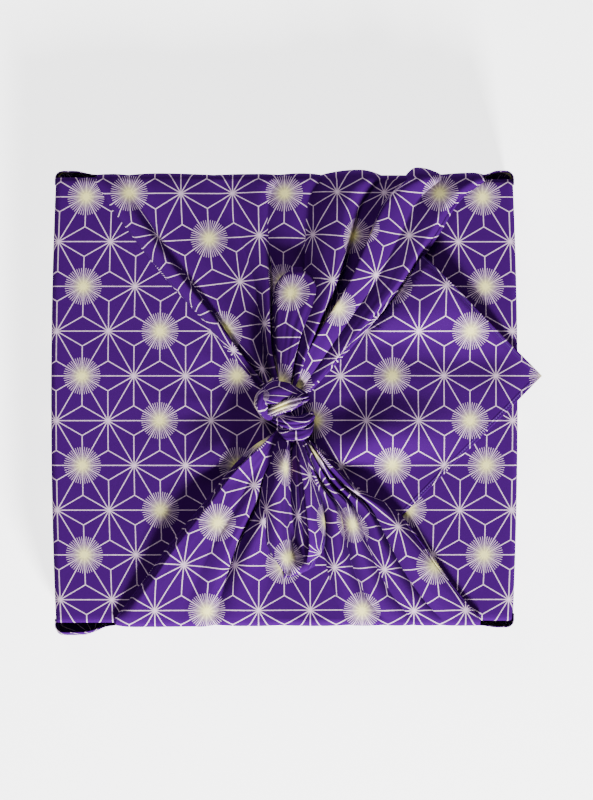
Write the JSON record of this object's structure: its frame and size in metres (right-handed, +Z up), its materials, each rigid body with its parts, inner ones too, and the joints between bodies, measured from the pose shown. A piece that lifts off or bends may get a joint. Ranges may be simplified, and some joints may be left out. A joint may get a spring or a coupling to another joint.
{
  "type": "furoshiki wrap",
  "caption": "Square cotton wrapping cloth folded round a low square box, its two gathered corners tied on top in a square knot with two short tails.",
  "frame": {"origin": "on the flat base, under the middle of the wrapped box", "axes": "+Z up through the knot, +X towards the free tip of the left flap, +Y towards the upper gathered corner"},
  "size_m": [0.4469, 0.4231, 0.0985],
  "materials": {
    "cotton": "plain-weave cotton, deep purple with thin pale lavender lines and pale gold points"
  },
  "bodies": {
    "root": {"wrap_cloth": "cotton"}
  },
  "joints": []
}
